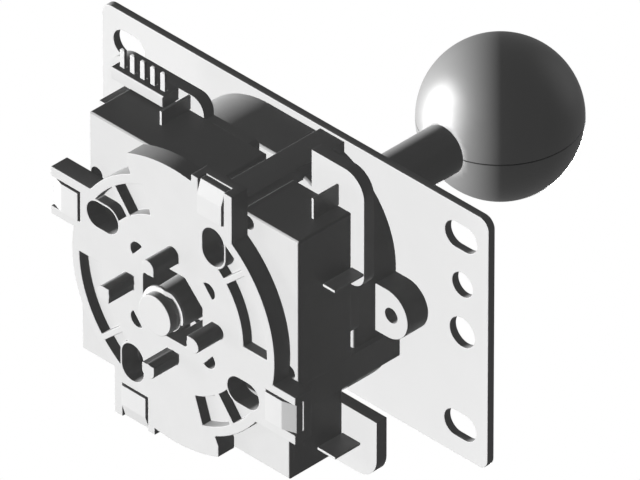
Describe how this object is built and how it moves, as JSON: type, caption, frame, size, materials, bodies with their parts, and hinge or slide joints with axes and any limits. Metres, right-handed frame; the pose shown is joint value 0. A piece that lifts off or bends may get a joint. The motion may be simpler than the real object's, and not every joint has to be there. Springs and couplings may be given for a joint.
{
  "type": "arcade joystick lever",
  "caption": "Ball-topped lever on a slotted steel plate, with a sprung ball pivot, edge switches on a board and an octagonal restrictor gate.",
  "frame": {"origin": "on the lever axis, at the mounting plate's upper face", "axes": "+Z along the lever towards the ball, +X along the plate's long side, -Y towards the wire header"},
  "size_m": [0.095, 0.0666, 0.1021],
  "materials": {
    "plated_steel": "zinc-plated sheet, satin",
    "screw_steel": "zinc-plated",
    "shaft_steel": "ground and plated",
    "spring_steel": "plain spring steel",
    "body_plastic": "moulded, fine matt texture",
    "gate_plastic": "moulded, fine matt texture",
    "case_plastic": "moulded, satin",
    "bearing_plastic": "smooth acetal",
    "board_laminate": "smooth laminate",
    "header_plastic": "moulded",
    "tinned_metal": "tin-plated",
    "knob_plastic": "moulded, polished",
    "insert_brass": "turned"
  },
  "bodies": {
    "housing": {"mounting_plate": "plated_steel", "plate_screws": "screw_steel", "main_body": "body_plastic", "switch_board": "board_laminate", "header_housing": "header_plastic", "header_pins": "tinned_metal", "restrictor_gate": "gate_plastic", "switch_case_n": "case_plastic", "switch_case_e": "case_plastic", "switch_case_s": "case_plastic", "switch_case_w": "case_plastic", "switch_terminals_n": "tinned_metal", "switch_terminals_e": "tinned_metal", "switch_terminals_s": "tinned_metal", "switch_terminals_w": "tinned_metal"},
    "swivel": {"spring_seat": "bearing_plastic", "return_spring": "spring_steel"},
    "lever": {"lever_shaft": "shaft_steel", "ball_knob": "knob_plastic", "knob_insert": "insert_brass", "pivot_ball": "bearing_plastic", "actuator": "bearing_plastic", "e_ring": "spring_steel"},
    "plunger_n": {"switch_plunger_n": "bearing_plastic"},
    "plunger_e": {"switch_plunger_e": "bearing_plastic"},
    "plunger_s": {"switch_plunger_s": "bearing_plastic"},
    "plunger_w": {"switch_plunger_w": "bearing_plastic"}
  },
  "joints": [
    {"name": "lever_spin", "type": "hinge", "parent": "housing", "child": "swivel", "pos_m": [0, 0, -0.0066], "axis": [0, 0, 1], "continuous": true},
    {"name": "lever_tilt", "type": "hinge", "parent": "swivel", "child": "lever", "pos_m": [0, 0, -0.0066], "axis": [1, 0, 0], "range_deg": [-6.4, 6.4], "stiffness_Nm_per_rad": 1.2, "deforming": ["return_spring"]},
    {"name": "plunger_press_n", "type": "slide", "parent": "housing", "child": "plunger_n", "axis": [0, -1, 0], "range_m": [0, 0.0008], "stiffness_N_per_m": 300, "springref_m": -0.002},
    {"name": "plunger_press_e", "type": "slide", "parent": "housing", "child": "plunger_e", "axis": [1, 0, 0], "range_m": [0, 0.0008], "stiffness_N_per_m": 300, "springref_m": -0.002},
    {"name": "plunger_press_s", "type": "slide", "parent": "housing", "child": "plunger_s", "axis": [0, 1, 0], "range_m": [0, 0.0008], "stiffness_N_per_m": 300, "springref_m": -0.002},
    {"name": "plunger_press_w", "type": "slide", "parent": "housing", "child": "plunger_w", "axis": [-1, 0, 0], "range_m": [0, 0.0008], "stiffness_N_per_m": 300, "springref_m": -0.002}
  ]
}
